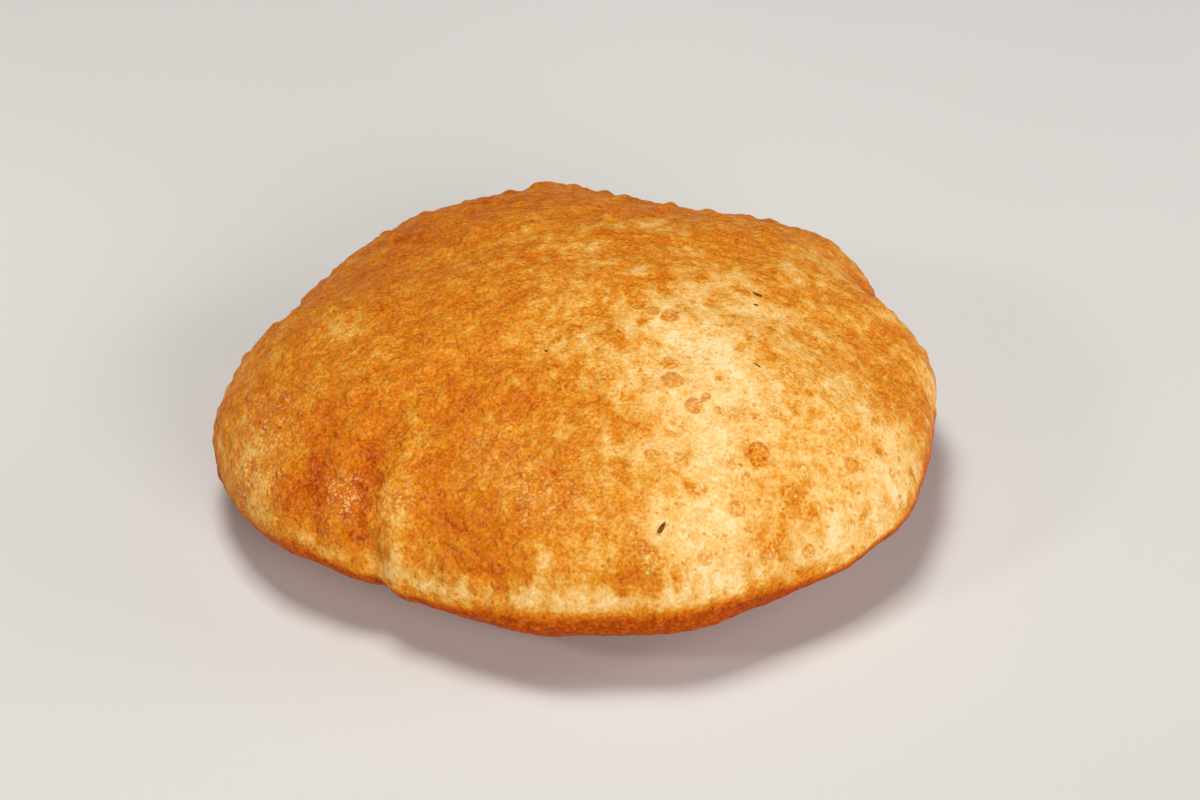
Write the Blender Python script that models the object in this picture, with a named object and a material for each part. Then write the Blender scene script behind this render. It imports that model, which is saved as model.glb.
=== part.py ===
"""A puri: a round of dough that has puffed up in hot oil, golden and blistered, as one solid.

Metres, +Z up. The origin is the middle of the flat spot that it rests on, +X is its right side
and -Y its front. A place on the puri is given as on a globe: by a bearing in degrees (0 right,
90 back, 180 left, 270 front) and a latitude (90 the crown, 0 the rim, below 0 the underside).
"""
import math

import bmesh
import bpy
import numpy as np

MM = 0.001

# Driving sizes of the body
RIM_REACH = 77.5 * MM
RIM_HEIGHT = 15.5 * MM
CROWN_RISE = 36.0 * MM
UNDER_DEPTH = 16.5 * MM

# Fullness of the meridians, as superellipse powers: along the reach and along the height
CROWN_POWERS = (1.8, 2.0)
UNDER_POWERS = (3.0, 2.2)

# Lobes of the rim: bearing, reach added, spread of the lobe in degrees
RIM_LOBES = (
    (6.0, 4.4 * MM, 15.0),
    (39.0, 4.4 * MM, 9.0),
    (74.0, -3.0 * MM, 9.0),
    (92.0, 2.5 * MM, 8.0),
    (118.0, -1.5 * MM, 8.0),
    (159.0, -6.0 * MM, 13.0),
    (196.0, 5.5 * MM, 22.0),
    (238.0, -4.8 * MM, 11.0),
    (290.0, 1.5 * MM, 8.0),
    (331.0, 3.6 * MM, 11.0),
)

# Soft swells and dents: bearing, latitude, rise, spread
SWELLS = (
    (97.5, 35.5, 1.9 * MM, 3.2 * MM),
    (97.0, 38.0, -0.8 * MM, 9.0 * MM),
    (68.0, 40.0, -1.8 * MM, 12.0 * MM),
    (37.0, 25.0, 1.3 * MM, 7.0 * MM),
    (140.0, 24.0, -1.1 * MM, 8.0 * MM),
    (173.0, 21.0, -0.7 * MM, 6.0 * MM),
    (226.0, 12.0, 0.5 * MM, 5.0 * MM),
    (204.0, 26.0, -0.8 * MM, 11.0 * MM),
    (222.0, -14.0, -0.9 * MM, 6.0 * MM),
    (262.0, 46.0, -0.8 * MM, 12.0 * MM),
    (277.0, -20.0, -0.6 * MM, 10.0 * MM),
    (320.0, -14.0, 0.9 * MM, 9.0 * MM),
    (325.0, 48.0, 0.8 * MM, 15.0 * MM),
    (345.0, 32.0, -0.8 * MM, 9.0 * MM),
    (352.0, 0.0, -0.6 * MM, 6.0 * MM),
)

# Unevenness of the whole skin: soft waves in all directions
WAVE_SEED = 11
WAVE_COUNT = 28
WAVE_LENGTHS = (16.0 * MM, 48.0 * MM)
WAVE_RISE = 0.32 * MM

# Puckers that run from the rim towards the crown: bearing at the rim, depth, half width in
# degrees, the latitudes where each begins and ends, and the bearing's drift with latitude; a
# depth below 0 is a ridge. Puckers, fold and ripples fade in and out over FADE degrees.
FADE = 8.0
PUCKERS = (
    (22.0, 2.2 * MM, 4.2, -20.0, 30.0, 0.0),
    (226.0, 0.9 * MM, 2.4, 8.0, 34.0, -0.25),
    (231.8, -0.6 * MM, 2.2, 10.0, 34.0, -0.24),
    (234.5, 1.3 * MM, 2.2, 2.0, 44.0, -0.22),
    (240.6, -0.9 * MM, 2.6, 4.0, 40.0, -0.17),
    (262.0, 0.8 * MM, 4.0, 8.0, 28.0, -0.55),
    (140.0, 0.4 * MM, 5.0, -20.0, 24.0, 0.0),
    (180.0, 0.5 * MM, 4.0, -20.0, 20.0, 0.0),
    (300.0, 0.5 * MM, 3.5, -20.0, 12.0, 0.0),
)

# The fold that notches the front left of the rim, with the lip that laps over it
FOLD_BEARING = 235.5
FOLD_DEPTH = 1.3 * MM
FOLD_HALF_WIDTH = 1.7
FOLD_LATITUDES = (-30.0, 12.0)
LIP_OFFSET = 3.8
LIP_RISE = 0.9 * MM
LIP_HALF_WIDTH = 2.2

# Small ripples in the front of the rim
RIPPLE_BEARINGS = (244.0, 300.0)
RIPPLE_PITCHES = (4.3, 3.1)
RIPPLE_RISE = 0.12 * MM
RIPPLE_LATITUDES = (-2.0, 13.0)

# Blisters of their own: bearing, latitude, radius, rise
BLISTERS = (
    (308.0, 36.4, 2.7 * MM, 0.6 * MM),
    (323.2, 24.5, 2.0 * MM, 0.4 * MM),
    (309.4, 24.9, 2.1 * MM, 0.4 * MM),
    (299.0, 27.1, 2.1 * MM, 0.4 * MM),
    (301.8, 13.1, 2.2 * MM, 0.4 * MM),
    (309.0, 7.9, 1.8 * MM, 0.4 * MM),
    (300.6, 57.1, 2.6 * MM, 0.5 * MM),
    (301.8, 50.8, 2.0 * MM, 0.4 * MM),
    (293.4, 40.7, 1.9 * MM, 0.3 * MM),
    (347.6, 75.3, 2.2 * MM, 0.4 * MM),
    (290.4, 69.7, 3.4 * MM, 0.4 * MM),
    (326.2, 67.3, 3.2 * MM, 0.4 * MM),
    (280.0, 60.4, 2.6 * MM, 0.4 * MM),
)

# Scattered blisters of the browned crust
CRUST_SEED = 7
CRUST_BLISTERS = 90
CRUST_RADIUS = (2.2 * MM, 4.2 * MM)
CRUST_SLENDERNESS = 0.13
CRUST_LATITUDES = (-30.0, 80.0)
PALE_BEARING = 312.0
PALE_SPREAD = 45.0
PALE_RISE = 0.35
BROWN_RISE = 0.85

# The mesh: cuts along a cube's edges, degrees that its middle is moved up so that most cells
# fall above the rim, and the triangles kept
CUBE_CUTS = 79
CROWN_BIAS = 12.0
TRIANGLES = 11200
FLAT_SNAP = 0.12 * MM
CREASE_LIMIT = math.radians(38.0)
CREASE_PASSES = 6

# The crust's mean colour (linear) and gloss
CRUST_COLOUR = (0.745, 0.292, 0.048, 1.0)
CRUST_ROUGHNESS = 0.42


def clear_scene():
    for item in list(bpy.data.objects):
        bpy.data.objects.remove(item, do_unlink=True)


def turn_between(bearing, other):
    """The signed turn in degrees from one bearing to another, the short way round."""
    return (bearing - other + 180.0) % 360.0 - 180.0


def hill(distance, spread):
    return np.exp(-0.5 * (distance / spread) ** 2)


def ramp(value, start, end):
    """0 up to start, 1 from end on, and smooth between."""
    t = np.clip((value - start) / (end - start), 0.0, 1.0)
    return t * t * (3.0 - 2.0 * t)


def window(value, low, high):
    """1 from low to high, faded at both ends."""
    return ramp(value, low - FADE, low + FADE) * (1.0 - ramp(value, high - FADE, high + FADE))


def rim_reach(bearing):
    reach = np.full_like(bearing, RIM_REACH)
    for lobe, added, spread in RIM_LOBES:
        reach = reach + added * hill(turn_between(bearing, lobe), spread)
    return reach


def body_points(bearing, latitude):
    """Points on the plain body, before its puckers, fold and blisters."""
    angle = np.radians(bearing)
    rise = np.radians(latitude)
    above = latitude >= 0.0
    reach_power = np.where(above, CROWN_POWERS[0], UNDER_POWERS[0])
    height_power = np.where(above, CROWN_POWERS[1], UNDER_POWERS[1])
    out = rim_reach(bearing) * np.abs(np.cos(rise)) ** (2.0 / reach_power)
    lift = np.abs(np.sin(rise)) ** (2.0 / height_power)
    height = RIM_HEIGHT + np.where(above, CROWN_RISE * lift, -UNDER_DEPTH * lift)
    return np.stack((out * np.cos(angle), out * np.sin(angle), height), axis=-1)


def distance_to(points, bearing, latitude):
    spot = body_points(np.array(bearing), np.array(latitude))
    return np.linalg.norm(points - spot, axis=-1)


def unevenness(points):
    chance = np.random.default_rng(WAVE_SEED)
    rise = np.zeros(len(points))
    for _ in range(WAVE_COUNT):
        direction = chance.normal(size=3)
        direction = direction / np.linalg.norm(direction)
        length = chance.uniform(*WAVE_LENGTHS)
        start = chance.uniform(0.0, math.tau)
        rise = rise + np.sin(math.tau * (points @ direction) / length + start)
    return WAVE_RISE * rise / math.sqrt(WAVE_COUNT / 2.0)


def puckers(bearing, latitude):
    rise = np.zeros_like(bearing)
    for middle, depth, half_width, low, high, slant in PUCKERS:
        across = hill(turn_between(bearing, middle + slant * latitude), half_width)
        rise = rise - depth * across * window(latitude, low, high)
    return rise


def rim_fold(bearing, latitude):
    turn = turn_between(bearing, FOLD_BEARING)
    crease = -FOLD_DEPTH * hill(turn, FOLD_HALF_WIDTH)
    lip = LIP_RISE * hill(turn - LIP_OFFSET, LIP_HALF_WIDTH)
    return (crease + lip) * window(latitude, *FOLD_LATITUDES)


def rim_ripples(bearing, latitude):
    wave = sum(np.cos(math.tau * bearing / pitch) for pitch in RIPPLE_PITCHES)
    stretch = window(bearing, *RIPPLE_BEARINGS)
    return RIPPLE_RISE * wave * stretch * window(latitude, *RIPPLE_LATITUDES)


def crust_blisters():
    """Scattered blisters, evenly over the skin: bearing, latitude, radius and rise of each."""
    chance = np.random.default_rng(CRUST_SEED)
    low, high = (math.sin(math.radians(limit)) for limit in CRUST_LATITUDES)
    found = []
    for _ in range(CRUST_BLISTERS):
        bearing = chance.uniform(0.0, 360.0)
        latitude = math.degrees(math.asin(chance.uniform(low, high)))
        radius = chance.uniform(*CRUST_RADIUS)
        paleness = hill(turn_between(bearing, PALE_BEARING), PALE_SPREAD)
        strength = BROWN_RISE + (PALE_RISE - BROWN_RISE) * paleness
        found.append((bearing, latitude, radius, radius * CRUST_SLENDERNESS * strength))
    return found


def blister_relief(points, blisters):
    rise = np.zeros(len(points))
    for bearing, latitude, radius, height in blisters:
        share = distance_to(points, bearing, latitude) / radius
        rise = np.maximum(rise, height * np.clip(1.0 - share ** 2, 0.0, 1.0) ** 2)
    return rise


def relief(points, bearing, latitude):
    """How far the skin stands proud of the plain body."""
    rise = unevenness(points) + puckers(bearing, latitude)
    rise = rise + rim_fold(bearing, latitude) + rim_ripples(bearing, latitude)
    for middle, height_angle, swell, spread in SWELLS:
        rise = rise + swell * hill(distance_to(points, middle, height_angle), spread)
    return rise + blister_relief(points, BLISTERS + tuple(crust_blisters()))


def globe_mesh():
    """A cube's grid swelled to a unit globe, with cells of nearly one size and no poles."""
    globe = bmesh.new()
    bmesh.ops.create_cube(globe, size=2.0)
    bmesh.ops.subdivide_edges(globe, edges=globe.edges[:], cuts=CUBE_CUTS, use_grid_fill=True)
    mesh = bpy.data.meshes.new("puri")
    globe.to_mesh(mesh)
    globe.free()
    points = read_points(mesh)
    points = np.tan(points * math.pi / 4.0)
    write_points(mesh, points / np.linalg.norm(points, axis=1, keepdims=True))
    return mesh


def read_points(mesh):
    flat = np.empty(3 * len(mesh.vertices), dtype=np.float32)
    mesh.vertices.foreach_get("co", flat)
    return flat.reshape(-1, 3).astype(np.float64)


def write_points(mesh, points):
    mesh.vertices.foreach_set("co", points.astype(np.float32).ravel())
    mesh.update()


def read_normals(mesh):
    flat = np.empty(3 * len(mesh.vertices), dtype=np.float32)
    mesh.vertices.foreach_get("normal", flat)
    return flat.reshape(-1, 3).astype(np.float64)


def globe_place(directions):
    """Bearing and latitude of each direction, with more of the cells on the crown side."""
    bearing = np.degrees(np.arctan2(directions[:, 1], directions[:, 0])) % 360.0
    latitude = np.degrees(np.arcsin(np.clip(directions[:, 2], -1.0, 1.0)))
    return bearing, latitude + CROWN_BIAS * (1.0 - (latitude / 90.0) ** 2)


def shape_puri(mesh):
    bearing, latitude = globe_place(read_points(mesh))
    points = body_points(bearing, latitude)
    write_points(mesh, points)
    points = points + read_normals(mesh) * relief(points, bearing, latitude)[:, None]
    points[:, 2] = np.maximum(points[:, 2], 0.0)
    write_points(mesh, points)


def ease_creases(mesh):
    """Softens the few creases that thinning the mesh leaves beside the smallest blisters."""
    skin = bmesh.new()
    skin.from_mesh(mesh)
    for _ in range(CREASE_PASSES):
        skin.normal_update()
        creases = [edge for edge in skin.edges if edge.calc_face_angle(0.0) > CREASE_LIMIT]
        corners = sorted({vert.index for edge in creases for vert in edge.verts})
        skin.verts.ensure_lookup_table()
        bmesh.ops.smooth_vert(
            skin,
            verts=[skin.verts[index] for index in corners],
            factor=0.5,
            use_axis_x=True,
            use_axis_y=True,
            use_axis_z=True,
        )
    skin.to_mesh(mesh)
    skin.free()


def thin_out(puri):
    """Keeps the triangles where the skin curves, and leaves the resting spot exactly flat."""
    thinner = puri.modifiers.new("Decimate", "DECIMATE")
    thinner.ratio = TRIANGLES / (2.0 * len(puri.data.polygons))
    whole = puri.evaluated_get(bpy.context.evaluated_depsgraph_get())
    mesh = bpy.data.meshes.new_from_object(whole)
    puri.modifiers.clear()
    dense = puri.data
    puri.data = mesh
    bpy.data.meshes.remove(dense)
    mesh.name = "puri"
    ease_creases(mesh)
    points = read_points(mesh)
    points[points[:, 2] < FLAT_SNAP, 2] = 0.0
    write_points(mesh, points)


def crust_material():
    material = bpy.data.materials.new("fried_crust")
    material.use_nodes = True
    shader = material.node_tree.nodes["Principled BSDF"]
    shader.inputs["Base Color"].default_value = CRUST_COLOUR
    shader.inputs["Roughness"].default_value = CRUST_ROUGHNESS
    shader.inputs["Metallic"].default_value = 0.0
    material.diffuse_color = CRUST_COLOUR
    return material


def build_puri(collection):
    mesh = globe_mesh()
    shape_puri(mesh)
    puri = bpy.data.objects.new("puri", mesh)
    collection.objects.link(puri)
    thin_out(puri)
    puri.data.shade_smooth()
    puri.data.materials.append(crust_material())
    return puri


def main():
    clear_scene()
    collection = bpy.data.collections.new("puri")
    bpy.context.scene.collection.children.link(collection)
    build_puri(collection)


main()
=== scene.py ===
"""The looks of a puri: its browned, blistered skin and the herb flecks in it, on a pale floor.

Metres, +Z up. A place on the puri is given as on a globe, as in the part's own source: by a
bearing in degrees (0 right, 90 back, 180 left, 270 front) and a latitude (90 the crown, 0 the
rim, below 0 the underside). Browning runs from 0, pale dough, to 1, dark crust.
"""
import math

import bmesh
import bpy
import numpy as np
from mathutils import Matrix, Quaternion, Vector, kdtree, noise
from mathutils.bvhtree import BVHTree


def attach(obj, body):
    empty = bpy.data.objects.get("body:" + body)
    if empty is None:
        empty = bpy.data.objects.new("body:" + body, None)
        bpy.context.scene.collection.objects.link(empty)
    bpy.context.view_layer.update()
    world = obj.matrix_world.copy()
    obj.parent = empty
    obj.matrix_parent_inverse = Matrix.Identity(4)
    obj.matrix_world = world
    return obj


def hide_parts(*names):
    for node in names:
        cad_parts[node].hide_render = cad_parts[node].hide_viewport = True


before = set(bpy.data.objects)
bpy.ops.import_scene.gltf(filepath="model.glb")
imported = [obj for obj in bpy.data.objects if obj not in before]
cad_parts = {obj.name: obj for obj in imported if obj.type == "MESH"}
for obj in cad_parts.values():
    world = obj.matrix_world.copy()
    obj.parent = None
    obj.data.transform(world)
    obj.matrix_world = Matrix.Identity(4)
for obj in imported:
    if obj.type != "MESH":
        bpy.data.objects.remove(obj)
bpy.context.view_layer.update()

MM = 0.001

# The camera: its lens and the width of its sensor in mm, the nearest that it sees, and the
# point that it looks at
LENS = 84.0
SENSOR_WIDTH = 36.0
NEAREST_SEEN = 0.01
CAMERA_ELEVATION = 35.0
CAMERA_DISTANCE = 0.635
CAMERA_TARGET = Vector((0.0051, 0.0, 0.017))

# Driving sizes of the body. From here down to the scattered blisters, each value is the same as
# in the part's own source.
RIM_REACH = 77.5 * MM
RIM_HEIGHT = 15.5 * MM
CROWN_RISE = 36.0 * MM
UNDER_DEPTH = 16.5 * MM

# Fullness of the meridians, as superellipse powers: along the reach and along the height
CROWN_POWERS = (1.8, 2.0)
UNDER_POWERS = (3.0, 2.2)

# Lobes of the rim: bearing, reach added, spread of the lobe in degrees
RIM_LOBES = (
    (6.0, 4.4 * MM, 15.0),
    (39.0, 4.4 * MM, 9.0),
    (74.0, -3.0 * MM, 9.0),
    (92.0, 2.5 * MM, 8.0),
    (118.0, -1.5 * MM, 8.0),
    (159.0, -6.0 * MM, 13.0),
    (196.0, 5.5 * MM, 22.0),
    (238.0, -4.8 * MM, 11.0),
    (290.0, 1.5 * MM, 8.0),
    (331.0, 3.6 * MM, 11.0),
)

# Soft swells and dents: bearing, latitude, rise, spread
SWELLS = (
    (97.5, 35.5, 1.9 * MM, 3.2 * MM),
    (97.0, 38.0, -0.8 * MM, 9.0 * MM),
    (68.0, 40.0, -1.8 * MM, 12.0 * MM),
    (37.0, 25.0, 1.3 * MM, 7.0 * MM),
    (140.0, 24.0, -1.1 * MM, 8.0 * MM),
    (173.0, 21.0, -0.7 * MM, 6.0 * MM),
    (226.0, 12.0, 0.5 * MM, 5.0 * MM),
    (204.0, 26.0, -0.8 * MM, 11.0 * MM),
    (222.0, -14.0, -0.9 * MM, 6.0 * MM),
    (262.0, 46.0, -0.8 * MM, 12.0 * MM),
    (277.0, -20.0, -0.6 * MM, 10.0 * MM),
    (320.0, -14.0, 0.9 * MM, 9.0 * MM),
    (325.0, 48.0, 0.8 * MM, 15.0 * MM),
    (345.0, 32.0, -0.8 * MM, 9.0 * MM),
    (352.0, 0.0, -0.6 * MM, 6.0 * MM),
)

# Unevenness of the whole skin: soft waves in all directions
WAVE_SEED = 11
WAVE_COUNT = 28
WAVE_LENGTHS = (16.0 * MM, 48.0 * MM)
WAVE_RISE = 0.32 * MM

# Puckers that run from the rim towards the crown: bearing at the rim, depth, half width in
# degrees, the latitudes where each begins and ends, and the bearing's drift with latitude; a
# depth below 0 is a ridge. Puckers, fold and ripples fade in and out over FADE degrees.
FADE = 8.0
PUCKERS = (
    (22.0, 2.2 * MM, 4.2, -20.0, 30.0, 0.0),
    (226.0, 0.9 * MM, 2.4, 8.0, 34.0, -0.25),
    (231.8, -0.6 * MM, 2.2, 10.0, 34.0, -0.24),
    (234.5, 1.3 * MM, 2.2, 2.0, 44.0, -0.22),
    (240.6, -0.9 * MM, 2.6, 4.0, 40.0, -0.17),
    (262.0, 0.8 * MM, 4.0, 8.0, 28.0, -0.55),
    (140.0, 0.4 * MM, 5.0, -20.0, 24.0, 0.0),
    (180.0, 0.5 * MM, 4.0, -20.0, 20.0, 0.0),
    (300.0, 0.5 * MM, 3.5, -20.0, 12.0, 0.0),
)

# The fold that notches the front left of the rim, with the lip that laps over it
FOLD_BEARING = 235.5
FOLD_DEPTH = 1.3 * MM
FOLD_HALF_WIDTH = 1.7
FOLD_LATITUDES = (-30.0, 12.0)
LIP_OFFSET = 3.8
LIP_RISE = 0.9 * MM
LIP_HALF_WIDTH = 2.2

# Small ripples in the front of the rim
RIPPLE_BEARINGS = (244.0, 300.0)
RIPPLE_PITCHES = (4.3, 3.1)
RIPPLE_RISE = 0.12 * MM
RIPPLE_LATITUDES = (-2.0, 13.0)

# Blisters of their own: bearing, latitude, radius, rise
BLISTERS = (
    (308.0, 36.4, 2.7 * MM, 0.6 * MM),
    (323.2, 24.5, 2.0 * MM, 0.4 * MM),
    (309.4, 24.9, 2.1 * MM, 0.4 * MM),
    (299.0, 27.1, 2.1 * MM, 0.4 * MM),
    (301.8, 13.1, 2.2 * MM, 0.4 * MM),
    (309.0, 7.9, 1.8 * MM, 0.4 * MM),
    (300.6, 57.1, 2.6 * MM, 0.5 * MM),
    (301.8, 50.8, 2.0 * MM, 0.4 * MM),
    (293.4, 40.7, 1.9 * MM, 0.3 * MM),
    (347.6, 75.3, 2.2 * MM, 0.4 * MM),
    (290.4, 69.7, 3.4 * MM, 0.4 * MM),
    (326.2, 67.3, 3.2 * MM, 0.4 * MM),
    (280.0, 60.4, 2.6 * MM, 0.4 * MM),
)

# Scattered blisters of the browned crust
CRUST_SEED = 7
CRUST_BLISTERS = 90
CRUST_RADIUS = (2.2 * MM, 4.2 * MM)
CRUST_SLENDERNESS = 0.13
CRUST_LATITUDES = (-30.0, 80.0)
PALE_BEARING = 312.0
PALE_SPREAD = 45.0
PALE_RISE = 0.35
BROWN_RISE = 0.85

# Brown discs of the blisters and a few flat ones: bearing, latitude, radius, browning inside,
# and browning added at the outline, partly browned edge and partly painted shade round the blister
MARKS = (
    (308.0, 36.4, 2.75 * MM, 0.56, 0.24),
    (323.2, 24.5, 1.8 * MM, 0.42, 0.14),
    (309.4, 24.9, 2.0 * MM, 0.47, 0.10),
    (298.9, 27.0, 2.0 * MM, 0.43, 0.10),
    (302.0, 13.1, 2.1 * MM, 0.45, 0.12),
    (309.0, 8.2, 1.7 * MM, 0.41, 0.10),
    (300.8, 57.0, 2.6 * MM, 0.56, 0.10),
    (304.4, 60.6, 1.9 * MM, 0.52, 0.06),
    (301.8, 50.7, 2.1 * MM, 0.55, 0.10),
    (292.4, 41.0, 2.0 * MM, 0.42, 0.04),
    (286.6, 43.4, 1.7 * MM, 0.44, 0.04),
    (350.0, 74.8, 2.1 * MM, 0.60, 0.04),
    (288.6, 70.0, 2.6 * MM, 0.58, 0.04),
    (318.0, 74.9, 1.6 * MM, 0.56, 0.06),
    (320.2, 72.0, 1.7 * MM, 0.57, 0.06),
    (323.6, 69.6, 2.2 * MM, 0.56, 0.10),
    (333.0, 69.0, 2.0 * MM, 0.48, 0.04),
    (280.0, 60.6, 2.4 * MM, 0.46, 0.04),
    (269.4, 72.2, 1.9 * MM, 0.56, 0.04),
    (306.0, 51.3, 1.2 * MM, 0.50, 0.12),
    (306.4, 47.9, 1.0 * MM, 0.52, 0.14),
    (309.8, 45.5, 2.2 * MM, 0.36, 0.04),
    (317.4, 42.4, 1.8 * MM, 0.36, 0.06),
    (265.8, 59.7, 1.4 * MM, 0.60, 0.04),
    (329.2, 47.9, 2.0 * MM, 0.44, 0.04),
    (302.0, 36.6, 1.4 * MM, 0.38, 0.04),
    (293.6, 33.8, 1.7 * MM, 0.38, 0.04),
    (290.8, 18.0, 1.8 * MM, 0.38, 0.04),
    (282.8, 18.9, 2.8 * MM, 0.42, 0.04),
    (329.6, 16.0, 1.2 * MM, 0.34, 0.10),
    (327.8, 27.6, 0.9 * MM, 0.36, 0.06),
    (320.2, 10.5, 0.9 * MM, 0.40, 0.06),
    (314.6, 28.7, 1.8 * MM, 0.36, 0.02),
)

# The skin's mesh: cells along each side of the cube that it starts from, and the degrees that
# the middle of the cube is moved up so that most cells fall above the rim
SKIN_CELLS = 128
CROWN_BIAS = 12.0

# Browning: of most of the skin, and patches by bearing, latitude, spread and change; a few of the
# patches are painted shade or light, as marked
BROWNING = 0.57
PATCHES = (
    (310.0, 55.0, 11.0 * MM, -0.49),
    (330.0, 68.0, 8.0 * MM, -0.22),
    (350.0, 56.0, 10.0 * MM, -0.20),
    (280.0, 80.0, 10.0 * MM, -0.12),
    (316.0, 26.0, 15.0 * MM, -0.14),
    (318.0, 12.0, 12.0 * MM, -0.22),
    (334.0, 20.0, 9.0 * MM, -0.16),
    (338.0, 42.0, 7.0 * MM, -0.12),
    (296.0, 42.0, 6.0 * MM, -0.14),
    (288.0, 26.0, 8.0 * MM, -0.28),
    (300.0, 34.0, 8.0 * MM, -0.15),
    (292.0, 12.0, 7.0 * MM, -0.12),
    (272.0, 20.0, 6.0 * MM, -0.06),
    (190.0, 50.0, 9.0 * MM, -0.10),
    (158.0, 36.0, 7.0 * MM, -0.08),
    (197.0, 12.0, 14.0 * MM, -0.11),
    (207.0, 11.0, 7.0 * MM, -0.12),
    (237.0, 9.0, 4.0 * MM, -0.06),
    (222.0, 9.0, 4.0 * MM, -0.12),
    (228.0, 4.0, 4.0 * MM, -0.14),
    # Paler in the fold's crease: painted light that lifts its shade
    (235.5, 1.5, 4.0 * MM, -0.14),
    (254.0, 44.0, 6.0 * MM, 0.08),
    (22.0, 34.0, 6.0 * MM, -0.12),
    (10.0, 30.0, 14.0 * MM, -0.12),
    (0.0, 10.0, 12.0 * MM, -0.16),
    (135.0, 69.0, 4.0 * MM, -0.10),
    (60.0, 66.0, 12.0 * MM, -0.08),
    (330.0, 44.0, 4.0 * MM, -0.16),
    (322.0, 35.0, 4.0 * MM, -0.06),
    (331.0, 21.0, 5.0 * MM, -0.12),
    (273.0, 66.0, 5.0 * MM, -0.08),
    (281.0, 47.0, 5.0 * MM, -0.10),
    (12.0, 68.0, 8.0 * MM, -0.08),
    (352.0, 52.0, 4.0 * MM, -0.10),
    (279.5, 26.0, 3.0 * MM, 0.12),
    (316.5, 21.0, 3.5 * MM, 0.12),
    (339.0, 39.0, 3.5 * MM, 0.12),
    (205.0, 0.0, 9.0 * MM, 0.10),
    (252.0, 79.0, 9.0 * MM, -0.04),
    (311.0, 70.0, 5.0 * MM, -0.12),
    (5.0, 13.0, 8.0 * MM, 0.10),
    (248.0, 11.0, 5.0 * MM, -0.09),
    (240.0, 4.0, 3.5 * MM, 0.09),
    (333.0, 13.0, 8.0 * MM, -0.07),
    (346.0, 5.0, 5.0 * MM, 0.10),
    (350.0, 17.0, 6.0 * MM, -0.05),
    (272.0, 30.0, 14.0 * MM, -0.03),
    (274.0, 18.0, 5.0 * MM, -0.06),
    (296.0, 14.0, 5.5 * MM, -0.07),
    (260.0, 17.0, 5.0 * MM, -0.06),
    (266.0, 38.6, 5.0 * MM, -0.05),
    (284.0, 37.8, 5.0 * MM, -0.05),
    (259.0, 27.0, 5.0 * MM, -0.05),
    (314.8, 37.2, 5.5 * MM, 0.10),
    (301.4, 32.8, 5.0 * MM, 0.08),
    (297.0, 79.0, 5.5 * MM, 0.06),
    (325.0, 74.5, 6.0 * MM, 0.07),
    (350.6, 61.4, 5.0 * MM, 0.05),
    (359.0, 53.7, 6.0 * MM, 0.06),
    (219.4, 6.0, 5.0 * MM, 0.07),
    (200.4, 34.3, 5.0 * MM, 0.07),
    (341.8, 14.1, 5.0 * MM, 0.09),
    (305.8, 65.9, 1.4 * MM, 0.12),
    # The rows at bearings 221 to 231 from here to the one at 227.0 darken the two pucker valleys
    # at the front left: painted shade
    (228.0, 31.0, 2.2 * MM, 0.08),
    (229.4, 25.7, 2.2 * MM, 0.10),
    (230.2, 20.4, 2.2 * MM, 0.12),
    (230.6, 15.3, 2.2 * MM, 0.10),
    (221.2, 23.0, 2.6 * MM, 0.06),
    (221.3, 15.5, 3.0 * MM, 0.15),
    (251.0, 4.0, 5.5 * MM, -0.13),
    (226.5, 14.0, 2.6 * MM, 0.10),
    (227.0, 10.5, 2.4 * MM, 0.10),
    (286.0, 14.0, 4.0 * MM, -0.10),
    (236.0, 71.0, 6.0 * MM, -0.06),
    (100.0, 76.0, 10.0 * MM, -0.05),
    (252.0, 23.0, 8.0 * MM, 0.16),
    (222.0, 24.0, 7.0 * MM, 0.12),
    (279.0, 14.0, 5.0 * MM, 0.10),
    (90.0, 40.0, 25.0 * MM, 0.13),
    (150.0, 36.0, 20.0 * MM, 0.17),
    (215.0, 52.0, 18.0 * MM, 0.06),
)

# The pale band along the front of the rim: its bearings, middle and half height, and change;
# and where it dips, by bearing, spread and depth in degrees
BAND_BEARINGS = (229.0, 318.0)
BAND_LATITUDES = (7.8, 3.4)
BAND_CHANGE = -0.21
BAND_DIP = (242.0, 9.0, 5.5)

# Streaks up and down the skin: width and height in degrees, strength, and their latitudes
STREAKS = (
    (1.5, 12.0, 0.28, 2.0, 16.0),
    (4.0, 24.0, 0.10, 8.0, 62.0),
)

# The dark underside, partly browned crust and partly painted shade: the latitudes between which
# it sets in, its browning, and where it sets in lower, by bearing, spread and degrees
UNDER_LATITUDES = (5.0, -1.5)
UNDER_BROWNING_AND_SHADE = 0.90
UNDER_DROPS = (
    (207.0, 8.0, 5.0),
    (235.0, 6.0, 8.0),
    (247.0, 6.0, 7.0),
    (315.0, 12.0, 8.0),
    (345.0, 7.0, -2.5),
    (294.0, 8.0, -1.8),
)

# Mottling of the browning: size and strength of each layer
MOTTLES = ((14.0 * MM, 0.11), (7.0 * MM, 0.15), (2.6 * MM, 0.17))

# Painted glints and sheen, fine pale grains painted on the skin where highlights glint: bearing,
# latitude, spread, strength; and the least strength that they have above the rim, and the
# latitudes over which that sets in
PAINTED_GLINT_PATCHES = (
    (204.0, 25.0, 7.0 * MM, 0.8),
    (210.0, 12.0, 6.0 * MM, 1.0),
    (225.5, 24.5, 3.0 * MM, 0.8),
    (227.3, 18.5, 2.5 * MM, 0.7),
    (236.5, 24.0, 4.5 * MM, 0.8),
    (250.0, 43.0, 6.0 * MM, 0.4),
    (264.0, 36.0, 8.0 * MM, 0.7),
    (283.0, 26.0, 5.0 * MM, 0.8),
    (297.0, 49.0, 8.0 * MM, 0.7),
    (312.0, 55.0, 9.0 * MM, 0.3),
    (297.4, 19.6, 6.0 * MM, 0.7),
)
PAINTED_GLINT_LEAST = 0.20
PAINTED_GLINT_LATITUDES = (-3.0, 7.0)

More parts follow.
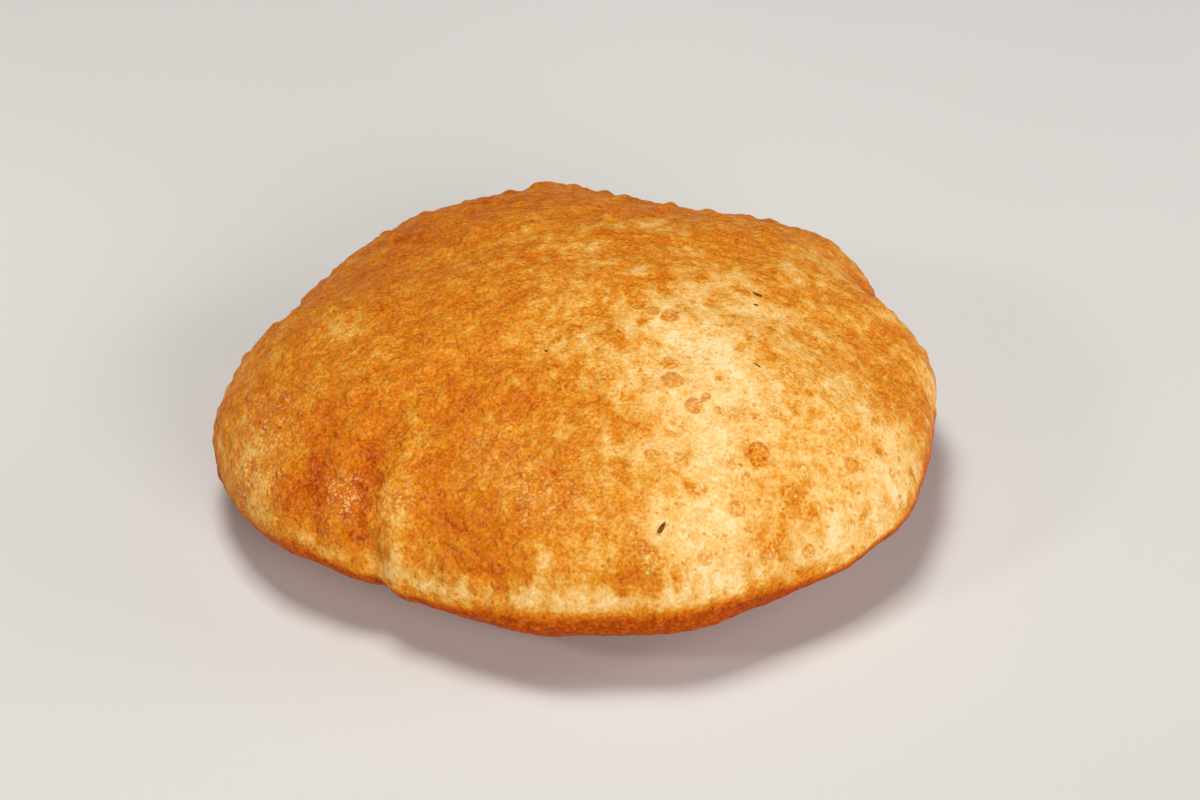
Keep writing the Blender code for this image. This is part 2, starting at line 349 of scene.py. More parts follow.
# How far from a mark its browning no longer matters, in shares of its radius
FAR_SHARE = 4.0

# Past SLOW_FROM the skin browns by a share only, and no point of it passes MOST_BROWN
SLOW_FROM = 0.52
SLOW_SHARE = 0.70
MOST_BROWN = 1.2

# Browning of the scattered blisters; and, for each mm that a pucker sinks into the skin, painted
# shade in its valleys and painted light on its ridges, as browning
CRUST_BROWNING = 0.06
PUCKER_PAINTED_SHADE = 0.12

# Pebbling: domes all over the skin, and larger bubbles where it is brown. For each kind its
# seed, how many, their radii, their height as a share of the radius, the browning that one
# adds, and the browning of the skin where they start and where they are full
PEBBLES = (
    (23, 5200, (1.1 * MM, 2.4 * MM), 0.25, 0.10, (-0.2, 1.1)),
    (31, 760, (1.3 * MM, 3.3 * MM), 0.33, -0.07, (0.38, 0.62)),
)

# Share of the pebbling that is left below the rim, and the latitudes where it changes
UNDER_PEBBLING = 0.3
PEBBLE_LATITUDES = (-2.0, 16.0)

# Small brown spots of the pale skin, and the browning of the skin where they start and where
# they are full
SPOT_SEED = 5
SPOTS = 700
SPOT_RADIUS = (0.7 * MM, 1.9 * MM)
SPOT_BROWNING = 0.21
SPOT_START_TO_FULL = (0.65, 0.35)


def turn_between(bearing, other):
    """The signed turn in degrees from one bearing to another, the short way round."""
    return (bearing - other + 180.0) % 360.0 - 180.0


def hill(distance, spread):
    """A soft hill: 1 in its middle, and fading with the distance from there."""
    return np.exp(-0.5 * (distance / spread) ** 2)


def ramp(value, start, end):
    """0 up to start, 1 from end on, and smooth between."""
    t = np.clip((value - start) / (end - start), 0.0, 1.0)
    return t * t * (3.0 - 2.0 * t)


def window(value, low, high):
    """1 from low to high, faded at both ends."""
    return ramp(value, low - FADE, low + FADE) * (1.0 - ramp(value, high - FADE, high + FADE))


def rim_reach(bearing):
    reach = np.full_like(bearing, RIM_REACH)
    for lobe, added, spread in RIM_LOBES:
        reach = reach + added * hill(turn_between(bearing, lobe), spread)
    return reach


def body_points(bearing, latitude):
    """Points on the plain body, before its puckers, fold and blisters."""
    angle = np.radians(bearing)
    rise = np.radians(latitude)
    above = latitude >= 0.0
    reach_power = np.where(above, CROWN_POWERS[0], UNDER_POWERS[0])
    height_power = np.where(above, CROWN_POWERS[1], UNDER_POWERS[1])
    out = rim_reach(bearing) * np.abs(np.cos(rise)) ** (2.0 / reach_power)
    lift = np.abs(np.sin(rise)) ** (2.0 / height_power)
    height = RIM_HEIGHT + np.where(above, CROWN_RISE * lift, -UNDER_DEPTH * lift)
    return np.stack((out * np.cos(angle), out * np.sin(angle), height), axis=-1)


def distance_to(points, bearing, latitude):
    """How far the points are from a place on the plain body."""
    spot = body_points(np.array(bearing), np.array(latitude))
    return np.linalg.norm(points - spot, axis=-1)


def unevenness(points):
    """Rise of the soft waves, added up."""
    chance = np.random.default_rng(WAVE_SEED)
    rise = np.zeros(len(points))
    for _ in range(WAVE_COUNT):
        direction = chance.normal(size=3)
        direction = direction / np.linalg.norm(direction)
        length = chance.uniform(*WAVE_LENGTHS)
        start = chance.uniform(0.0, math.tau)
        rise = rise + np.sin(math.tau * (points @ direction) / length + start)
    return WAVE_RISE * rise / math.sqrt(WAVE_COUNT / 2.0)


def puckers(bearing, latitude):
    rise = np.zeros_like(bearing)
    for middle, depth, half_width, low, high, slant in PUCKERS:
        across = hill(turn_between(bearing, middle + slant * latitude), half_width)
        rise = rise - depth * across * window(latitude, low, high)
    return rise


def rim_fold(bearing, latitude):
    turn = turn_between(bearing, FOLD_BEARING)
    crease = -FOLD_DEPTH * hill(turn, FOLD_HALF_WIDTH)
    lip = LIP_RISE * hill(turn - LIP_OFFSET, LIP_HALF_WIDTH)
    return (crease + lip) * window(latitude, *FOLD_LATITUDES)


def rim_ripples(bearing, latitude):
    wave = sum(np.cos(math.tau * bearing / pitch) for pitch in RIPPLE_PITCHES)
    stretch = window(bearing, *RIPPLE_BEARINGS)
    return RIPPLE_RISE * wave * stretch * window(latitude, *RIPPLE_LATITUDES)


def crust_blisters():
    """Scattered blisters, evenly over the skin: bearing, latitude, radius and rise of each."""
    chance = np.random.default_rng(CRUST_SEED)
    low, high = (math.sin(math.radians(limit)) for limit in CRUST_LATITUDES)
    found = []
    for _ in range(CRUST_BLISTERS):
        bearing = chance.uniform(0.0, 360.0)
        latitude = math.degrees(math.asin(chance.uniform(low, high)))
        radius = chance.uniform(*CRUST_RADIUS)
        paleness = hill(turn_between(bearing, PALE_BEARING), PALE_SPREAD)
        strength = BROWN_RISE + (PALE_RISE - BROWN_RISE) * paleness
        found.append((bearing, latitude, radius, radius * CRUST_SLENDERNESS * strength))
    return found


def dome(share):
    """Height of a blister by the share of its radius: 1 in the middle and 0 at its edge."""
    return np.clip(1.0 - share ** 2, 0.0, 1.0) ** 2


def blister_relief(points, blisters):
    rise = np.zeros(len(points))
    for *place, radius, height in blisters:
        rise = np.maximum(rise, height * dome(distance_to(points, *place) / radius))
    return rise


def relief(points, bearing, latitude):
    """How far the skin stands proud of the plain body."""
    rise = unevenness(points) + puckers(bearing, latitude)
    rise = rise + rim_fold(bearing, latitude) + rim_ripples(bearing, latitude)
    for *place, swell, spread in SWELLS:
        rise = rise + swell * hill(distance_to(points, *place), spread)
    return rise + blister_relief(points, BLISTERS + tuple(crust_blisters()))


def add_object(name, data):
    added = bpy.data.objects.new(name, data)
    bpy.context.scene.collection.objects.link(added)
    return added


def read_vectors(mesh, name):
    flat = np.empty(3 * len(mesh.vertices), dtype=np.float32)
    mesh.vertices.foreach_get(name, flat)
    return flat.reshape(-1, 3).astype(np.float64)


def write_points(mesh, points):
    mesh.vertices.foreach_set("co", points.astype(np.float32).ravel())
    mesh.update()


def cube_grid():
    """A cube's grid, each side split into cells."""
    grid = bmesh.new()
    bmesh.ops.create_cube(grid, size=2.0)
    cuts = SKIN_CELLS - 1
    bmesh.ops.subdivide_edges(grid, edges=grid.edges[:], cuts=cuts, use_grid_fill=True)
    mesh = bpy.data.meshes.new("puri_skin")
    grid.to_mesh(mesh)
    grid.free()
    return mesh


def globe_place(cube):
    """Bearing and latitude of the cube's points, swelled to a globe with cells of like size."""
    swelled = np.tan(cube * math.pi / 4.0)
    directions = swelled / np.linalg.norm(swelled, axis=1, keepdims=True)
    bearing = np.degrees(np.arctan2(directions[:, 1], directions[:, 0])) % 360.0
    latitude = np.degrees(np.arcsin(np.clip(directions[:, 2], -1.0, 1.0)))
    return bearing, latitude + CROWN_BIAS * (1.0 - (latitude / 90.0) ** 2)


def mottling(points, size):
    """Soft noise of the given size, from -1 to 1."""
    return np.array([noise.noise(point) for point in points / size])


def streaks(bearing, latitude):
    """Light and dark streaks that run up and down the skin."""
    angle = np.radians(bearing)
    found = np.zeros_like(bearing)
    for width, height, strength, low, high in STREAKS:
        ring = 1.0 / math.radians(width)
        places = np.stack((ring * np.cos(angle), ring * np.sin(angle), latitude / height), axis=-1)
        pattern = np.array([noise.noise(place) for place in places])
        found = found + strength * window(latitude, low, high) * pattern
    return found


def pale_band(bearing, latitude):
    """Change of the browning along the front of the rim."""
    dip_bearing, dip_spread, dip = BAND_DIP
    middle, half_height = BAND_LATITUDES
    middle = middle - dip * hill(turn_between(bearing, dip_bearing), dip_spread)
    return BAND_CHANGE * hill(latitude - middle, half_height) * window(bearing, *BAND_BEARINGS)


def under_crust_and_shade_share(bearing, latitude):
    """How far the dark underside, browned crust and painted shade, has set in, from 0 to 1."""
    level = latitude
    for middle, spread, drop in UNDER_DROPS:
        level = level + drop * hill(turn_between(bearing, middle), spread)
    return ramp(level, *UNDER_LATITUDES)


def browning_of(points, bearing, latitude):
    """How brown the skin is before its pebbles and small spots."""
    brown = np.full(len(points), BROWNING)
    for *place, spread, change in PATCHES:
        brown = brown + change * hill(distance_to(points, *place), spread)
    brown = brown + pale_band(bearing, latitude) + streaks(bearing, latitude)
    for size, strength in MOTTLES:
        brown = brown + strength * mottling(points, size)
    brown = np.minimum(brown, SLOW_FROM + SLOW_SHARE * (brown - SLOW_FROM))
    # Darker underside: browned crust and painted shade
    brown = brown + (UNDER_BROWNING_AND_SHADE - brown) * under_crust_and_shade_share(bearing, latitude)
    for *place, radius, _ in crust_blisters():
        brown = brown + CRUST_BROWNING * dome(distance_to(points, *place) / radius)
    # Painted shade in the puckers' valleys and painted light on their ridges
    return brown - PUCKER_PAINTED_SHADE * puckers(bearing, latitude) / MM


def nearest_mark(points):
    """For each point, its distance from the nearest mark's middle as a share of the mark's
    radius, and that mark's browning inside and at its outline."""
    marks = np.array(MARKS)
    shares = [distance_to(points, *mark[:2]) / mark[2] for mark in marks]
    nearest = np.argmin(shares, axis=0)
    share = np.minimum(np.min(shares, axis=0), FAR_SHARE)
    return np.column_stack((share, marks[nearest, 3:]))


def scatter(points, seed, count, radii):
    """Seeded round marks on the skin. Of each it yields the middle's index, the radius, the
    points in it and the share of the radius that each lies from the middle."""
    tree = kdtree.KDTree(len(points))
    for index, point in enumerate(points):
        tree.insert(point, index)
    tree.balance()
    chance = np.random.default_rng(seed)
    for middle in chance.choice(len(points), count, replace=False):
        radius = chance.uniform(*radii)
        near = tree.find_range(points[middle], radius)
        members = np.array([index for _, index, _ in near])
        share = np.array([distance for _, _, distance in near]) / radius
        yield middle, radius, members, share


def pebble(points, brown, latitude):
    """Rise and added browning of the pebbled crust, which is smoother below the rim."""
    rise = np.zeros(len(points))
    added = np.zeros(len(points))
    above = ramp(latitude, *PEBBLE_LATITUDES)
    for seed, count, radii, slenderness, browning, between in PEBBLES:
        for middle, radius, members, share in scatter(points, seed, count, radii):
            strength = ramp(brown[middle], *between) * dome(share)
            strength = strength * (UNDER_PEBBLING + (1.0 - UNDER_PEBBLING) * above[middle])
            rise[members] = np.maximum(rise[members], radius * slenderness * strength)
            added[members] = added[members] + browning * strength / len(PEBBLES)
    return rise, added


def spots(points, brown):
    """Browning that the small spots of the pale skin add."""
    added = np.zeros(len(points))
    for middle, _, members, share in scatter(points, SPOT_SEED, SPOTS, SPOT_RADIUS):
        strength = SPOT_BROWNING * ramp(brown[middle], *SPOT_START_TO_FULL)
        added[members] = np.maximum(added[members], strength * dome(share))
    return added


def painted_glints_of(points, latitude):
    """How much painted glint the skin has, from 0 to 1."""
    painted_glint_amount = np.zeros(len(points))
    for *place, spread, strength in PAINTED_GLINT_PATCHES:
        painted_glint_amount = painted_glint_amount + strength * hill(distance_to(points, *place), spread)
    least = PAINTED_GLINT_LEAST * ramp(latitude, *PAINTED_GLINT_LATITUDES)
    return np.clip(np.maximum(painted_glint_amount, least), 0.0, 1.0)


def keep_values(mesh, name, kind, field, values):
    """Keep a value for each point of the mesh, for its material to read."""
    kept = mesh.attributes.new(name, kind, "POINT")
    kept.data.foreach_set(field, values.astype(np.float32).ravel())


def skin_mesh():
    mesh = cube_grid()
    bearing, latitude = globe_place(read_vectors(mesh, "co"))
    body = body_points(bearing, latitude)
    write_points(mesh, body)
    brown = browning_of(body, bearing, latitude)
    rise, pebble_brown = pebble(body, brown, latitude)
    brown = brown + pebble_brown + spots(body, brown)
    normals = read_vectors(mesh, "normal")
    points = body + normals * (relief(body, bearing, latitude) + rise)[:, None]
    points[:, 2] = np.maximum(points[:, 2], 0.0)
    write_points(mesh, points)
    keep_values(mesh, "browning", "FLOAT", "value", np.clip(brown, 0.0, MOST_BROWN))
    # The share of painted glints and sheen, for the material
    keep_values(mesh, "painted_glint", "FLOAT", "value", painted_glints_of(body, latitude))
    keep_values(mesh, "mark", "FLOAT_VECTOR", "vector", nearest_mark(body))
    mesh.shade_smooth()
    return mesh


def build_skin():
    mesh = skin_mesh()
    mesh.materials.append(crust_material())
    skin = add_object("puri_skin", mesh)
    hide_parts("puri")
    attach(skin, "root")
    return skin


class Nodes:
    """Short ways to add and join shader nodes."""

    def __init__(self, name):
        self.material = bpy.data.materials.new(name)
        self.material.use_nodes = True
        self.tree = self.material.node_tree
        self.shader = self.tree.nodes["Principled BSDF"]

    def add(self, kind, **settings):
        node = self.tree.nodes.new(kind)
        for name, value in settings.items():
            setattr(node, name, value)
        return node

    def join(self, source, target):
        self.tree.links.new(source, target)

    def fill(self, socket, value):
        """Set a socket to a plain value, or join it to the socket that gives its value."""
        if isinstance(value, bpy.types.NodeSocket):
            self.join(value, socket)
        else:
            socket.default_value = value

    def maths(self, operation, *values):
        node = self.add("ShaderNodeMath", operation=operation)
        for socket, value in zip(node.inputs, values):
            self.fill(socket, value)
        return node.outputs[0]

    def added(self, value, pattern, strength):
        """The value, with the pattern at the given strength added to it."""
        return self.maths("MULTIPLY_ADD", pattern, strength, value)

    def varied(self, value, pattern, strength):
        """The value, moved up and down by a pattern that runs from 0 to 1."""
        return self.added(value, self.maths("SUBTRACT", pattern, 0.5), strength)

    def between(self, share, first, second):
        """The share of the way from the first number to the second."""
        return self.maths("MULTIPLY_ADD", share, second - first, first)

    def noise(self, place, size, detail=2.0):
        node = self.add("ShaderNodeTexNoise")
        node.inputs["Scale"].default_value = 1.0 / size
        node.inputs["Detail"].default_value = detail
        self.join(place, node.inputs["Vector"])
        return node.outputs["Fac"]

    def warped(self, place, size, reach):
        """The place, moved by up to the reach by noise of the given size."""
        shift = self.add("ShaderNodeTexNoise")
        shift.inputs["Scale"].default_value = 1.0 / size
        self.join(place, shift.inputs["Vector"])
        node = self.add("ShaderNodeVectorMath", operation="MULTIPLY_ADD")
        node.inputs[1].default_value = (reach, reach, reach)
        self.join(shift.outputs["Color"], node.inputs[0])
        self.join(place, node.inputs[2])
        return node.outputs[0]

    def rise(self, value, start, end, top=1.0):
        """0 where the value is start, top where it is end, and smooth between."""
        node = self.add("ShaderNodeMapRange", interpolation_type="SMOOTHSTEP")
        for socket, number in zip(node.inputs[1:5], (start, end, 0.0, top)):
            socket.default_value = number
        self.join(value, node.inputs["Value"])
        return node.outputs["Result"]

    def mix(self, share, first, second):
        """The share of the way from the first colour to the second. The node's colour sockets
        come after those for its other kinds of data."""
        node = self.add("ShaderNodeMix", data_type="RGBA")
        self.join(share, node.inputs["Factor"])
        for socket, colour in zip(node.inputs[6:8], (first, second)):
            self.fill(socket, colour)
        return node.outputs[2]

    def colours(self, value, stops):
        node = self.add("ShaderNodeValToRGB")
        ramp_stops = node.color_ramp.elements
        while len(ramp_stops) < len(stops):
            ramp_stops.new(0.5)
        for stop, (place, colour) in zip(ramp_stops, stops):
            stop.position = place
            stop.color = (*colour, 1.0)
        self.join(value, node.inputs["Fac"])
        return node.outputs["Color"]

    def surface(self, colour, roughness, gleam):
        """Give the shader its colour, its roughness and the strength of its gleam."""
        self.fill(self.shader.inputs["Base Color"], colour)
        self.fill(self.shader.inputs["Roughness"], roughness)
        self.shader.inputs["Specular IOR Level"].default_value = gleam

    def bump(self, height, reach):
        """Shade the surface as if it stood out by the reach where the height is 1."""
        node = self.add("ShaderNodeBump")
        node.inputs["Distance"].default_value = reach
        self.join(height, node.inputs["Height"])
        self.join(node.outputs["Normal"], self.shader.inputs["Normal"])


# The colour of the oily gleam of the herb flecks and of the skin
GLEAM_COLOUR = (1.0, 0.60, 0.18, 1.0)

# Herb flecks in the skin: bearing, latitude, length, width and the turn of the length in
# degrees, from the way round the puri towards the crown
HERBS = (
    (284.8, 27.1, 3.0 * MM, 0.95 * MM, 52.0),
    (358.4, 58.3, 2.3 * MM, 1.1 * MM, 82.0),
    (352.4, 58.3, 1.2 * MM, 0.6 * MM, 100.0),
    (256.6, 66.6, 0.9 * MM, 0.5 * MM, 10.0),
    (325.4, 52.3, 1.7 * MM, 0.35 * MM, 100.0),
)
HERB_THICKNESS = 0.30 * MM
HERB_RINGS = 13
HERB_SIDES = 10

# Form of a fleck: the two powers of its outline, how much it tapers along its length, its least
# width at the tips as a share of the full one, how far its ends bend up as a share of its
# length, and how steeply its sides fold up
HERB_POWERS = (2.2, 0.8)
HERB_TAPER = 0.22
HERB_TIP = 0.04
HERB_BEND = 0.12
HERB_FOLD = 0.25

# Looks of the flecks: size and colours of their mottling, roughness, gleam and relief
HERB_MOTTLE = 0.4 * MM
HERB_COLOURS = ((0.35, (0.075, 0.026, 0.002)), (0.65, (0.26, 0.11, 0.010)))
HERB_ROUGHNESS = 0.6
HERB_GLEAM = 0.1
HERB_BUMP = 0.08 * MM


def leaf_outline(share):
    """Half width of a leaf along its length, of 1 in its middle: share runs from -1 to 1."""
    length_power, width_power = HERB_POWERS
    return (1.0 - abs(share) ** length_power) ** width_power * (1.0 - HERB_TAPER * share)


def herb_ring(bed, centre, width, reach, across, normal):
    """The points of one section through a leaf, with its sides folded up."""
    ring = []
    for side in range(HERB_SIDES):
        angle = math.tau * side / HERB_SIDES
        wide = 0.5 * width * reach * math.cos(angle)
        high = 0.5 * HERB_THICKNESS * math.sqrt(reach) * math.sin(angle)
        fold = HERB_FOLD * abs(wide)
        ring.append(bed.verts.new(centre + wide * across + (high + fold) * normal))
    return ring


def herb_fleck(bed, tree, fleck):
    """A slim bent leaf, pressed into the skin."""
    bearing, latitude, length, width, turn = fleck
    spot = body_points(np.array(bearing), np.array(latitude))
    middle, normal, _, _ = tree.find_nearest(Vector(spot))
    around = Vector((0.0, 0.0, 1.0)).cross(normal).normalized()
    along = Quaternion(normal, math.radians(turn)) @ around
    across = normal.cross(along)
    rings = []
    for step in range(HERB_RINGS):
        share = 2.0 * step / (HERB_RINGS - 1) - 1.0
        reach = max(leaf_outline(share), HERB_TIP)
        lift = HERB_BEND * length * share ** 2
        centre = middle + 0.5 * length * share * along + lift * normal
        rings.append(herb_ring(bed, centre, width, reach, across, normal))
    for ring, following in zip(rings, rings[1:]):
        for side in range(HERB_SIDES):
            other = (side + 1) % HERB_SIDES
            bed.faces.new((ring[side], ring[other], following[other], following[side]))
    bed.faces.new(rings[0])
    bed.faces.new(rings[-1])


def build_herbs(skin):
    tree = BVHTree.FromObject(skin, bpy.context.evaluated_depsgraph_get())
    bed = bmesh.new()
    for fleck in HERBS:
        herb_fleck(bed, tree, fleck)
    bmesh.ops.recalc_face_normals(bed, faces=bed.faces[:])
    mesh = bpy.data.meshes.new("herb_flecks")
    bed.to_mesh(mesh)
    bed.free()
    mesh.shade_smooth()
    mesh.materials.append(herb_material())
    flecks = add_object("herb_flecks", mesh)
    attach(flecks, "root")


def herb_material():
    nodes = Nodes("dried_herb")
    place = nodes.add("ShaderNodeTexCoord").outputs["Object"]
    tone = nodes.noise(place, HERB_MOTTLE, detail=3.0)
    nodes.surface(nodes.colours(tone, HERB_COLOURS), HERB_ROUGHNESS, HERB_GLEAM)
    nodes.shader.inputs["Specular Tint"].default_value = GLEAM_COLOUR
    nodes.bump(tone, HERB_BUMP)
    return nodes.material


# The skin's fine patterns: soft clumps, the grain in them, beads and larger pimples, and how
# far noise bends the outlines of the last two
CLUMP = 1.7 * MM
GRAIN = 0.75 * MM
BEAD = 1.2 * GRAIN
BEAD_WARP = 0.5 * GRAIN
PIMPLE = 2.3 * MM
PIMPLE_WARP = 0.5 * CLUMP

# What the clumps, the grain, the creases round the beads and those round the pimples add to
# the browning, that of the creases being painted shade, and to the height in shares of
# BUMP_HEIGHT; the values of the grain between which it stands up; and the height of a mark's disc
FINE_BROWNING = (0.32, 0.50, 0.14, 0.12)
FINE_HEIGHTS = (1.0, 0.30, -0.42, -0.9)
GRAIN_STANDS = (0.40, 0.82)
DISC_HEIGHT = 0.4
BUMP_HEIGHT = 0.68 * MM

# The browning where the skin starts to count as pale and where it fully does; and the strength
# of the creases round the pimples, and of the whole height, on brown skin and on pale
PALE_FROM_TO = (0.60, 0.25)
PIMPLE_STRENGTHS = (1.6, 0.6)
HEIGHT_STRENGTHS = (1.2, 0.55)

# The strength of the skin's gleam, and its roughness between the clumps and on them
GLEAM = 0.12
ROUGHNESSES = (0.38, 0.68)

# Painted glints, as grains: cell size, radius of the largest in cells, strength, strength of the
# painted sheen between them, colour, and the values of the clumps over which they gather
PAINTED_GLINT_CELL = 0.64 * MM
PAINTED_GLINT_REACH = 0.85
PAINTED_GLINT_STRENGTH = 0.72
PAINTED_SHEEN = 0.08
PAINTED_GLINT_COLOUR = (1.0, 0.60, 0.235, 1.0)
PAINTED_GLINT_GATHERING = (0.30, 0.60)

# The skin's colours by browning, in linear light
CRUST_COLOURS = (
    (0.00, (0.955, 0.715, 0.36)),
    (0.12, (0.93, 0.62, 0.24)),
    (0.30, (0.85, 0.46, 0.105)),
    (0.40, (0.80, 0.365, 0.053)),
    (0.50, (0.77, 0.275, 0.014)),
    (0.62, (0.70, 0.195, 0.005)),
    (0.76, (0.63, 0.135, 0.002)),
    (0.90, (0.50, 0.080, 0.001)),
    (1.00, (0.38, 0.050, 0.0005)),
)

# The colours that the spots of the pale skin lean to, by browning; how far they lean; and the
# browning of the skin around them where that starts and where it is full
SPOT_COLOURS = (
    (0.00, (0.955, 0.715, 0.36)),
    (0.20, (0.885, 0.535, 0.170)),
    (0.40, (0.77, 0.38, 0.092)),
    (0.60, (0.64, 0.26, 0.055)),
    (1.00, (0.42, 0.12, 0.012)),
)
SPOT_LEAN = 0.7
SPOT_PALENESS = (0.42, 0.16)

# Brown dots of the pale skin and dark pits of the brown: cell sizes, radius of the largest in
# cells, browning, soft edge in cells, and how far noise bends their outlines
DOT_CELLS = (2.6 * MM, 1.1 * MM)
DOT_REACH = 0.42
DOT_BROWNING = 0.25
PIT_CELL = 2.8 * MM
PIT_REACH = 0.32
PIT_BROWNING = 0.23
DOT_EDGE = (-0.02, 0.16)
DOT_WARP = 0.9 * MM

# Marks, in shares of their radius: how far the clumps and the grain bend their outlines, and
# where the disc and the darker outline, partly painted shade, set in and are full; and the grain's
# speckle in them
MARK_BENDS = (1.1, 0.35)
MARK_DISC = (1.04, 0.80)
MARK_OUTLINE = (0.55, 0.90)
MARK_SPECKLE = 0.45


def cells(nodes, place, size, feature="F1"):
    """Distance from the middle of the nearest cell, in cells, and that cell's random value."""
    node = nodes.add("ShaderNodeTexVoronoi", feature=feature)
    node.inputs["Scale"].default_value = 1.0 / size
    nodes.join(place, node.inputs["Vector"])
    return node.outputs["Distance"], node.outputs["Color"]


def creases(nodes, place, size, bend):
    """A pattern of round grains: low in the middle of each, and high in the creases between."""
    distance, _ = cells(nodes, nodes.warped(place, CLUMP, bend), size, "SMOOTH_F1")
    return distance


def dots(nodes, place, size, largest, strength, where):
    """Dots of all sizes up to the largest, one in each cell where it says 1."""
    distance, chance = cells(nodes, place, size)
    inside = nodes.maths("SUBTRACT", nodes.maths("MULTIPLY", chance, largest), distance)
    return nodes.maths("MULTIPLY", nodes.rise(inside, *DOT_EDGE, strength), where)


def dotted(nodes, brown, place, paleness):
    """Browning with brown dots in it where the skin is pale, and pits where it is brown."""
    for size in DOT_CELLS:
        found = dots(nodes, place, size, DOT_REACH, DOT_BROWNING, paleness)
        brown = nodes.maths("ADD", brown, found)
    brownness = nodes.maths("SUBTRACT", 1.0, paleness)
    pits = dots(nodes, place, PIT_CELL, PIT_REACH, PIT_BROWNING, brownness)
    return nodes.maths("ADD", brown, pits)


def marked(nodes, brown, clumps, grain):
    """Browning with the marks' discs and their darker outlines in it, the outlines partly painted
    shade, and the discs' mask.
    """
    mark = nodes.add("ShaderNodeSeparateXYZ")
    attribute = nodes.add("ShaderNodeAttribute", attribute_name="mark")
    nodes.join(attribute.outputs["Vector"], mark.inputs["Vector"])
    share, inside, outline = mark.outputs
    for pattern, bend in zip((clumps, grain), MARK_BENDS):
        share = nodes.varied(share, pattern, bend)
    disc = nodes.rise(share, *MARK_DISC)
    change = nodes.maths("SUBTRACT", inside, brown)
    # The darker outline: browned edge and painted shade
    change = nodes.added(change, outline, nodes.rise(share, *MARK_OUTLINE))
    change = nodes.varied(change, grain, MARK_SPECKLE)
    return nodes.added(brown, disc, change), disc


def with_painted_glints(nodes, colour, place, clumps):
    """The colour, with painted glints (fine pale grains on the clumps) and a painted sheen between
    them.
    """
    painted_glint = nodes.add("ShaderNodeAttribute", attribute_name="painted_glint").outputs["Fac"]
    where = nodes.maths("MULTIPLY", painted_glint, nodes.rise(clumps, *PAINTED_GLINT_GATHERING))
    grains = dots(nodes, place, PAINTED_GLINT_CELL, PAINTED_GLINT_REACH, PAINTED_GLINT_STRENGTH, where)
    return nodes.mix(nodes.added(grains, where, PAINTED_SHEEN), colour, PAINTED_GLINT_COLOUR)


def crust_material():
    nodes = Nodes("fried_crust")
    place = nodes.add("ShaderNodeTexCoord").outputs["Object"]
    bent = nodes.warped(place, GRAIN, DOT_WARP)
    skin_brown = nodes.add("ShaderNodeAttribute", attribute_name="browning").outputs["Fac"]
    paleness = nodes.rise(skin_brown, *PALE_FROM_TO)
    clumps = nodes.noise(place, CLUMP)
    grain = nodes.noise(place, GRAIN, detail=1.0)
    beads = creases(nodes, place, BEAD, BEAD_WARP)
    pimples = creases(nodes, place, PIMPLE, PIMPLE_WARP)
    pimples = nodes.maths("MULTIPLY", pimples, nodes.between(paleness, *PIMPLE_STRENGTHS))
    brown = dotted(nodes, skin_brown, bent, paleness)
    brown, disc = marked(nodes, brown, clumps, grain)
    # Browner clumps and grain, and painted shade in the creases round the beads and pimples
    for pattern, strength in zip((clumps, grain, beads, pimples), FINE_BROWNING):
        brown = nodes.varied(brown, pattern, strength)
    lean = nodes.rise(skin_brown, *SPOT_PALENESS, SPOT_LEAN)
    colour = nodes.colours(brown, CRUST_COLOURS)
    colour = nodes.mix(lean, colour, nodes.colours(brown, SPOT_COLOURS))
    # Painted glints and a painted sheen, mixed into the colour
    colour = with_painted_glints(nodes, colour, bent, clumps)
    nodes.surface(colour, nodes.between(clumps, *ROUGHNESSES), GLEAM)
    nodes.shader.inputs["Specular Tint"].default_value = GLEAM_COLOUR
    height = nodes.maths("MULTIPLY", disc, DISC_HEIGHT)
    standing = nodes.rise(grain, *GRAIN_STANDS)
    for pattern, strength in zip((clumps, standing, beads, pimples), FINE_HEIGHTS):
        height = nodes.added(height, pattern, strength)
    height = nodes.maths("MULTIPLY", height, nodes.between(paleness, *HEIGHT_STRENGTHS))
    nodes.bump(height, BUMP_HEIGHT)
    return nodes.material


def add_camera():
    data = bpy.data.cameras.new("camera")
    data.lens = LENS
    data.sensor_width = SENSOR_WIDTH
    data.clip_start = NEAREST_SEEN
    camera = add_object("camera", data)
    rise = math.radians(CAMERA_ELEVATION)
    back = Vector((0.0, -math.cos(rise), math.sin(rise)))
    camera.location = CAMERA_TARGET + back * CAMERA_DISTANCE
    camera.rotation_euler = (math.pi / 2.0 - rise, 0.0, 0.0)
    bpy.context.scene.camera = camera


# Soft square lights that face the puri: name, place, size, power and colour
LIGHTS = (
    ("key", (-0.12, 0.14, 0.82), 0.28, 4.45, (1.0, 0.97, 0.93)),
    ("fill", (0.86, -1.48, 0.56), 1.00, 19.6, (1.0, 0.98, 0.96)),
    ("front", (-0.48, -0.80, 0.13), 0.40, 1.3, (1.0, 0.97, 0.93)),
    ("side", (0.78, 0.05, 0.30), 0.40, 2.1, (1.0, 0.98, 0.96)),
    ("window", (-0.62, -0.30, 0.42), 0.10, 1.0, (1.0, 0.96, 0.90)),
)

# The backdrop: its colour, the strength of the light that it gives, and that at which it shows
BACKDROP_COLOUR = (1.0, 0.98, 0.95, 1.0)
BACKDROP_LIGHT = 0.03
BACKDROP_SHOWN = 0.75


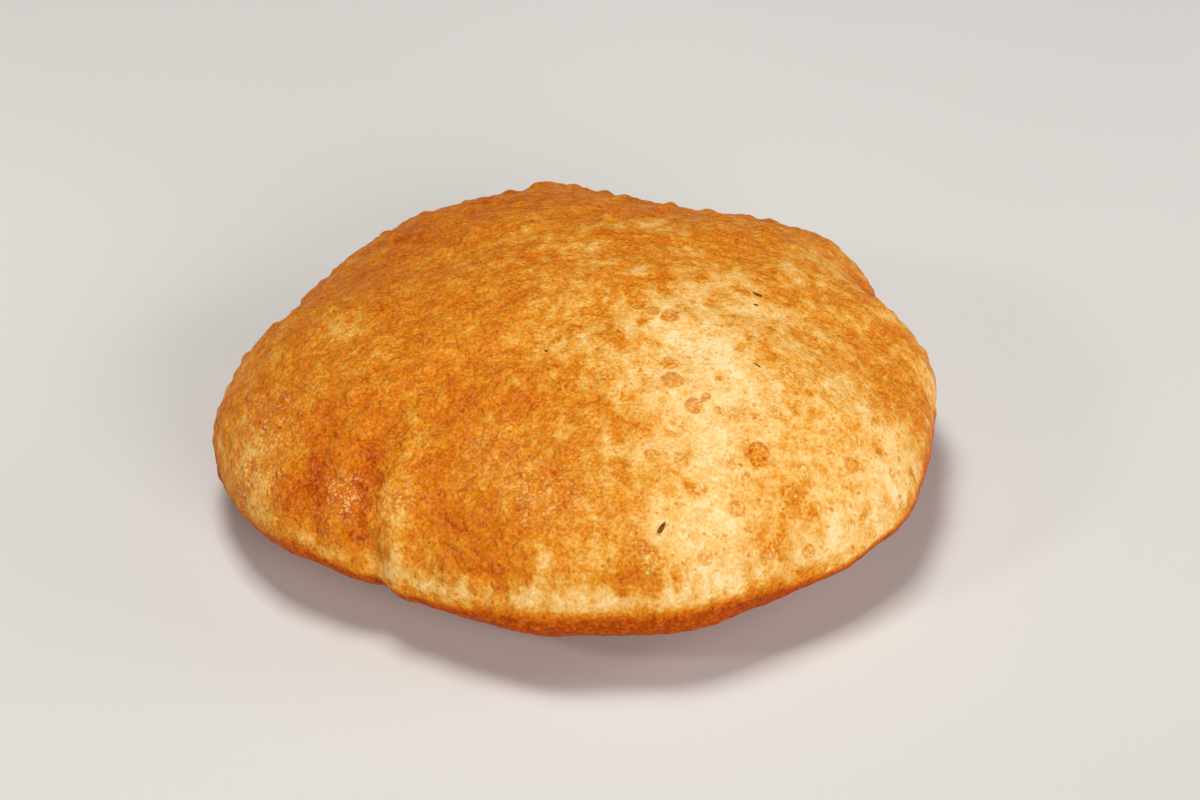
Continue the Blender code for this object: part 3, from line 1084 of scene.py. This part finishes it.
def add_light(name, place, size, power, colour):
    data = bpy.data.lights.new(name, "AREA")
    data.size = size
    data.energy = power
    data.color = colour
    light = add_object(name, data)
    light.location = place
    light.rotation_euler = (CAMERA_TARGET - light.location).to_track_quat("-Z", "Y").to_euler()


def light_studio():
    world = bpy.data.worlds.new("studio")
    world.use_nodes = True
    nodes, links = world.node_tree.nodes, world.node_tree.links
    backdrop = nodes["Background"]
    backdrop.inputs["Color"].default_value = BACKDROP_COLOUR
    seen = nodes.new("ShaderNodeLightPath").outputs["Is Camera Ray"]
    strength = nodes.new("ShaderNodeMapRange")
    strength.inputs["To Min"].default_value = BACKDROP_LIGHT
    strength.inputs["To Max"].default_value = BACKDROP_SHOWN
    links.new(seen, strength.inputs["Value"])
    links.new(strength.outputs["Result"], backdrop.inputs["Strength"])
    bpy.context.scene.world = world
    for light in LIGHTS:
        add_light(*light)
    bpy.context.scene.view_settings.view_transform = "Standard"


# The floor: its side, size and colours of its faint mottling, and roughness
FLOOR_SIDE = 12.0
FLOOR_MOTTLE = 0.25
FLOOR_COLOURS = ((0.3, (0.73, 0.725, 0.71)), (0.7, (0.77, 0.765, 0.75)))
FLOOR_ROUGHNESS = 0.7

# Distances over which the far floor, that the lights do not reach, starts to glow by itself,
# and how much, so that it stays pale up to the backdrop
GLOW_FROM_TO = (0.4, 1.7)
GLOW = 0.62


def floor_material():
    nodes = Nodes("floor")
    place = nodes.add("ShaderNodeTexCoord").outputs["Object"]
    tone = nodes.noise(place, FLOOR_MOTTLE)
    nodes.surface(nodes.colours(tone, FLOOR_COLOURS), FLOOR_ROUGHNESS, 0.0)
    reach = nodes.add("ShaderNodeVectorMath", operation="LENGTH")
    nodes.join(place, reach.inputs[0])
    glow = nodes.rise(reach.outputs["Value"], *GLOW_FROM_TO, GLOW)
    nodes.shader.inputs["Emission Color"].default_value = BACKDROP_COLOUR
    nodes.join(glow, nodes.shader.inputs["Emission Strength"])
    return nodes.material


def add_floor():
    bpy.ops.mesh.primitive_plane_add(size=FLOOR_SIDE)
    floor = bpy.context.object
    floor.name = "floor"
    floor.data.materials.append(floor_material())


add_camera()
build_herbs(build_skin())
light_studio()
add_floor()
